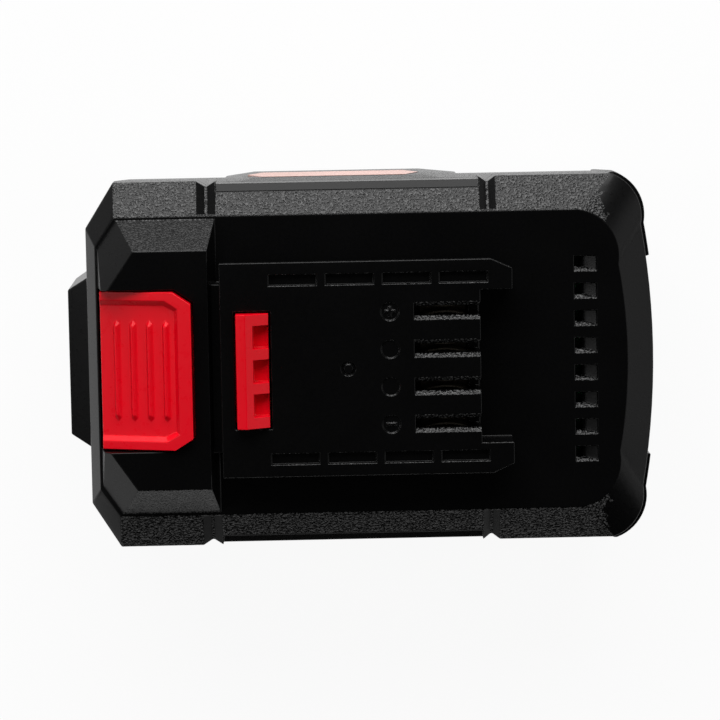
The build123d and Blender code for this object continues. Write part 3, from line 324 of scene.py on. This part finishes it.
# Parts on the board. Moulded epoxy power packages and chip, a punched alloy shunt, and ceramic
# capacitors with tinned ends, all soldered flat. A pressed switch sits on the gauge's board.
package_epoxy = plain_finish(
    "package_epoxy", (0.012, 0.012, 0.013), (0.02, 0.02, 0.021), (0.5, 0.68), 300, 4200, 0.008 * MM
)
for part in ("power_transistors", "control_chip", "gauge_switch"):
    dress(nodes[part], package_epoxy)
shunt_alloy = plain_finish(
    "shunt_alloy", (0.50, 0.39, 0.30), (0.62, 0.50, 0.40), (0.25, 0.42), 300, 5000, 0.004 * MM,
    metallic=1.0, stretch=(1, 0.1, 1),
)
dress(nodes["current_shunt"], shunt_alloy)
ceramic = plain_finish("ceramic", (0.36, 0.24, 0.13), (0.45, 0.31, 0.18), (0.3, 0.45), 900, 6000, 0.004 * MM)
tinned_end = plain_finish(
    "tinned_end", (0.62, 0.61, 0.59), (0.74, 0.73, 0.71), (0.28, 0.45), 900, 4000, 0.006 * MM, 1.0
)
dress(nodes["board_capacitors"], ceramic, tinned_end)
finish_faces(nodes["board_capacitors"], lambda centre, normal: abs(normal.y) > facing)

# Terminal block and contacts. A nylon block carries four forks of tinned brass strip, each of two
# springy leaves that bow in towards the tool's blade. The strip is coloured an even dark brown all over.
block_nylon = plain_finish(
    "block_nylon", (0.02, 0.02, 0.021), (0.03, 0.03, 0.031), (0.4, 0.52), 150, 2600, 0.01 * MM
)
dress(nodes["terminal_block"], block_nylon)
contact_brass = plain_finish(
    "contact_brass", (0.17, 0.15, 0.12), (0.25, 0.22, 0.18), (0.26, 0.4), 700, 6000, 0.003 * MM,
    metallic=1.0, stretch=(1, 1, 0.15),
)
for number in range(1, 5):
    dress(nodes["contact_%d" % number], contact_brass)

# Temperature sensor. A bead of filled epoxy on a lead, pressed between two cells of the upper row.
bead_epoxy = plain_finish(
    "bead_epoxy", (0.02, 0.014, 0.01), (0.05, 0.032, 0.02), (0.25, 0.4), 500, 1500, 0.03 * MM
)
dress(nodes["temperature_sensor"], bead_epoxy)

# Charge gauge, in the nose. Four lamps on a small upright board shine through a window of smoked
# polycarbonate, a grey key beside it presses the switch, and a flat lead runs to the main board.
lamp_resin, tree, shader = finish_material("lamp_resin", (0.55, 0.72, 0.50), 0.22)
shader.inputs["Subsurface Weight"].default_value = 0.3
shader.inputs["Subsurface Radius"].default_value = (0.4 * MM, 0.5 * MM, 0.4 * MM)
tree.links.new(spread(tree, noise(tree, 1500), 0.16, 0.3), shader.inputs["Roughness"])
dress(nodes["gauge_lamps"], lamp_resin)
flat_lead = plain_finish(
    "flat_lead", (0.66, 0.66, 0.64), (0.76, 0.76, 0.74), (0.4, 0.55), 200, 1600, 0.05 * MM,
    stretch=(0.05, 1, 0.05),
)
dress(nodes["gauge_lead"], flat_lead)

smoke, tree, shader = finish_material("smoked_window", (0.05, 0.045, 0.045), 0.12)
shader.inputs["Transmission Weight"].default_value = 0.8
shader.inputs["IOR"].default_value = 1.58
tree.links.new(spread(tree, noise(tree, 400), 0.08, 0.18), shader.inputs["Roughness"])
relief(tree, shader, noise(tree, 200), 0.004 * MM)
smoked_window = rounded_copy("gauge_window", "smoked_window", 0.15 * MM)
dress(smoked_window, smoke)
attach(smoked_window, "pack")
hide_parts("gauge_window")

key_rubber = plain_finish(
    "key_rubber", (0.10, 0.10, 0.105), (0.13, 0.13, 0.135), (0.5, 0.66), 300, 2400, 0.015 * MM
)
gauge_key = rounded_copy("gauge_button", "gauge_key", 0.25 * MM)
dress(gauge_key, key_rubber)
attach(gauge_key, "gauge_key")
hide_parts("gauge_button")

# Upper housing. The same nylon: shoulders, deck, latch block and slide plate in one moulding. The
# shoulders, the sides of the block and the lead-ins of the slots keep the grain of the side walls.
shoulder_inner = 29.2
shoulder_end = 49.0
smooth_strip = 34.4
panel_front = -28.2
panel_back = 24.0
block_inner = 20.0
deck_top = 50.3
plate_bevel_low = 58.7
turned_across = 0.3
turned_along = 0.35
turned_up = 0.2
# The dark grey here is a painted highlight: fainter glints painted on the grain peaks of the block.
fine_grain_glint_nylon = eroded_nylon("fine_grain_glint_nylon", (0.025, 0.025, 0.025), 0.22, 0.12 * MM)


def upper_grain(centre, normal):
    """Grain of each face of the upper housing: none, full, or the finer one of the block."""
    across = abs(centre.y)
    slanted = abs(normal.y) > turned_across and abs(normal.x) < turned_along
    if on_side_wall(centre, normal):
        return True
    if across > shoulder_inner and slanted and centre.z < deck_top:
        in_panel = panel_front < centre.x < panel_back
        return centre.x < shoulder_end and not (in_panel and across > smooth_strip)
    faces_up = slanted and normal.z > turned_up
    if across > block_inner and faces_up and centre.z > deck_top:
        return 2
    return faces_up and (centre.z > plate_bevel_low or centre.x > shoulder_inner)


upper_cover = rounded_copy("upper_shell", "upper_cover", 0.2 * MM)
dress(upper_cover, satin_nylon, grain_glint_nylon, fine_grain_glint_nylon)
finish_faces(upper_cover, upper_grain)
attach(upper_cover, "pack")
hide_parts("upper_shell")

# Latch springs and their plate. Two coiled steel springs push the latch up, and shorten as it is
# pressed. They stand on a black nylon plate, which two screws hold under the block.
drawn_steel = plain_finish(
    "drawn_steel", (0.46, 0.46, 0.45), (0.60, 0.60, 0.59), (0.2, 0.34), 400, 5000, 0.002 * MM, 1.0
)
latch_coils = bpy.data.objects.new("latch_coils", nodes["latch_springs"].data.copy())
bpy.context.scene.collection.objects.link(latch_coils)
latch_coils.data.shade_smooth()
dress(latch_coils, drawn_steel)
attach(latch_coils, "pack")
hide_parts("latch_springs")
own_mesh(latch_coils)
plate_nylon = plain_finish(
    "plate_nylon", (0.008, 0.008, 0.0085), (0.012, 0.012, 0.0125), (0.42, 0.56), 120, 2400, 0.012 * MM
)
dress(nodes["latch_retainer"], plate_nylon)

# Release latch. Button, arm and hook in one moulding of red acetal. The button has a dished top
# with four ribs for the thumb, and the hook snaps into the tool as the pack slides home.
latch_acetal, tree, shader = finish_material("latch_acetal", (0.83, 0.0003, 0.01), 0.3)
shader.inputs["Specular IOR Level"].default_value = 0.2
drift = spread(tree, noise(tree, 45), 0.0, 1.0)
red_colour = blend_colours(tree, drift, (0.8, 0.0003, 0.009), (0.86, 0.0006, 0.012))
tree.links.new(red_colour, shader.inputs["Base Color"])
tree.links.new(spread(tree, noise(tree, 700), 0.26, 0.34), shader.inputs["Roughness"])
relief(tree, shader, noise(tree, 2200), 0.003 * MM)
red_latch = rounded_copy("release_latch", "red_latch", 0.14 * MM)
dress(red_latch, latch_acetal)
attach(red_latch, "latch")
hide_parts("release_latch")

# Screws. Thread-forming steel screws, zinc-plated: four long ones from the base into the lid, four
# that hold the board and two that hold the latch's plate.
zinc_plate = plain_finish(
    "zinc_plate", (0.46, 0.47, 0.49), (0.60, 0.61, 0.62), (0.24, 0.42), 350, 3500, 0.004 * MM, 1.0
)
for screws in ("housing_screws", "board_screws", "retainer_screws"):
    dress(nodes[screws], zinc_plate)

# Labels. Copper-coloured foil on each side, cut with pointed ends, and a grey polyester sheet for
# the base. All three are bare.
side_foil = plain_finish(
    "side_foil", (0.62, 0.34, 0.28), (0.70, 0.40, 0.34), (0.26, 0.34), 60, 1800, 0.003 * MM,
    metallic=0.35, stretch=(0.1, 1, 1),
)
for side in ("right", "left"):
    dress(nodes["side_label_" + side], side_foil)
base_sheet = plain_finish(
    "base_sheet", (0.30, 0.30, 0.31), (0.34, 0.34, 0.35), (0.34, 0.44), 70, 2600, 0.004 * MM
)
dress(nodes["rating_label"], base_sheet)

# Studio. A white table that keeps the shadow, a large soft lamp behind the pack, weaker ones at its
# end and nose, and a small strong one beyond the nose. The camera looks almost straight down.
floor_half = 0.24
floor_gap = 0.1 * MM
mesh = bpy.data.meshes.new("studio_floor")
bm = bmesh.new()
bmesh.ops.create_grid(bm, x_segments=1, y_segments=1, size=floor_half)
bmesh.ops.translate(bm, verts=bm.verts, vec=(0, 0, -floor_gap))
bm.to_mesh(mesh)
bm.free()
floor = bpy.data.objects.new("studio_floor", mesh)
bpy.context.scene.collection.objects.link(floor)

white_share = 0.93


def combine(tree, operation, first, second):
    """Value that an operation makes of two others."""
    node = tree.nodes.new("ShaderNodeMath")
    node.operation = operation
    tree.links.new(first, node.inputs[0])
    tree.links.new(second, node.inputs[1])
    return node.outputs["Value"]


def seen_directly(tree):
    """1 where the camera, a gloss or a window looks straight at it, and 0 for light that it sheds."""
    path = tree.nodes.new("ShaderNodeLightPath")
    seen = path.outputs["Is Camera Ray"]
    for other in ("Is Glossy Ray", "Is Transmission Ray"):
        seen = combine(tree, "MAXIMUM", seen, path.outputs[other])
    return seen


table_white, tree, shader = finish_material("table_white", (0.95, 0.95, 0.95), 0.9)
shader.inputs["Specular IOR Level"].default_value = 0.0
glow = tree.nodes.new("ShaderNodeEmission")
glow.inputs["Strength"].default_value = 1.0
share = spread(tree, seen_directly(tree), 0.0, white_share, 0.0, 1.0)
both = tree.nodes.new("ShaderNodeMixShader")
tree.links.new(share, both.inputs["Fac"])
tree.links.new(shader.outputs["BSDF"], both.inputs[1])
tree.links.new(glow.outputs["Emission"], both.inputs[2])
tree.links.new(both.outputs["Shader"], tree.nodes["Material Output"].inputs["Surface"])
dress(floor, table_white)

room_light = 0.02
world = bpy.data.worlds.new("studio")
bpy.context.scene.world = world
world.use_nodes = True
tree = world.node_tree
backdrop = tree.nodes["Background"]
backdrop.inputs["Color"].default_value = (1, 1, 1, 1)
direction = tree.nodes.new("ShaderNodeTexCoord")
height = tree.nodes.new("ShaderNodeSeparateXYZ")
tree.links.new(direction.outputs["Generated"], height.inputs["Vector"])
above = tree.nodes.new("ShaderNodeMath")
above.operation = "ABSOLUTE"
tree.links.new(height.outputs["Z"], above.inputs[0])
near_horizon = spread(tree, above.outputs["Value"], 1.0, 0.0, 0.05, 0.15)
mirrored = combine(tree, "MULTIPLY", near_horizon, seen_directly(tree))
path = tree.nodes.new("ShaderNodeLightPath")
straight = combine(tree, "MAXIMUM", path.outputs["Is Camera Ray"], path.outputs["Is Transmission Ray"])
white = combine(tree, "MAXIMUM", mirrored, straight)
tree.links.new(spread(tree, white, room_light, 1.0, 0.0, 1.0), backdrop.inputs["Strength"])


def softbox(name, place, size, radiance):
    """Soft lamp at a place, turned towards the pack. A radiance of 1 looks white."""
    aim = Vector((0, 0, 0.04))
    lamp = bpy.data.lights.new(name, "AREA")
    lamp.shape = "RECTANGLE"
    lamp.size, lamp.size_y = size
    lamp.energy = radiance * math.pi * size[0] * size[1]
    holder = bpy.data.objects.new(name, lamp)
    holder.location = place
    holder.rotation_euler = (aim - Vector(place)).to_track_quat("-Z", "Y").to_euler()
    holder.visible_camera = False
    bpy.context.scene.collection.objects.link(holder)


softbox("back_softbox", (-0.05, 0.75, 0.45), (0.9, 0.95), 4.6)
softbox("end_softbox", (0.75, 0.0, 0.5), (0.7, 0.7), 0.9)
softbox("nose_softbox", (-0.4, -0.3, 0.75), (0.35, 0.35), 0.45)
softbox("key_light", (-0.7, 0.1, 0.6), (0.2, 0.2), 8.0)

camera = bpy.data.cameras.new("camera")
camera.lens = 175.2
camera.sensor_width = 36.0
camera.clip_end = 20.0
viewer = bpy.data.objects.new("camera", camera)
viewer.location = (-12.6 * MM, 78.8 * MM, 750 * MM)
viewer.rotation_euler = (math.radians(-6.35), math.radians(-1.13), math.radians(-1.03))
bpy.context.scene.collection.objects.link(viewer)
bpy.context.scene.camera = viewer
bpy.context.scene.view_settings.view_transform = "Standard"
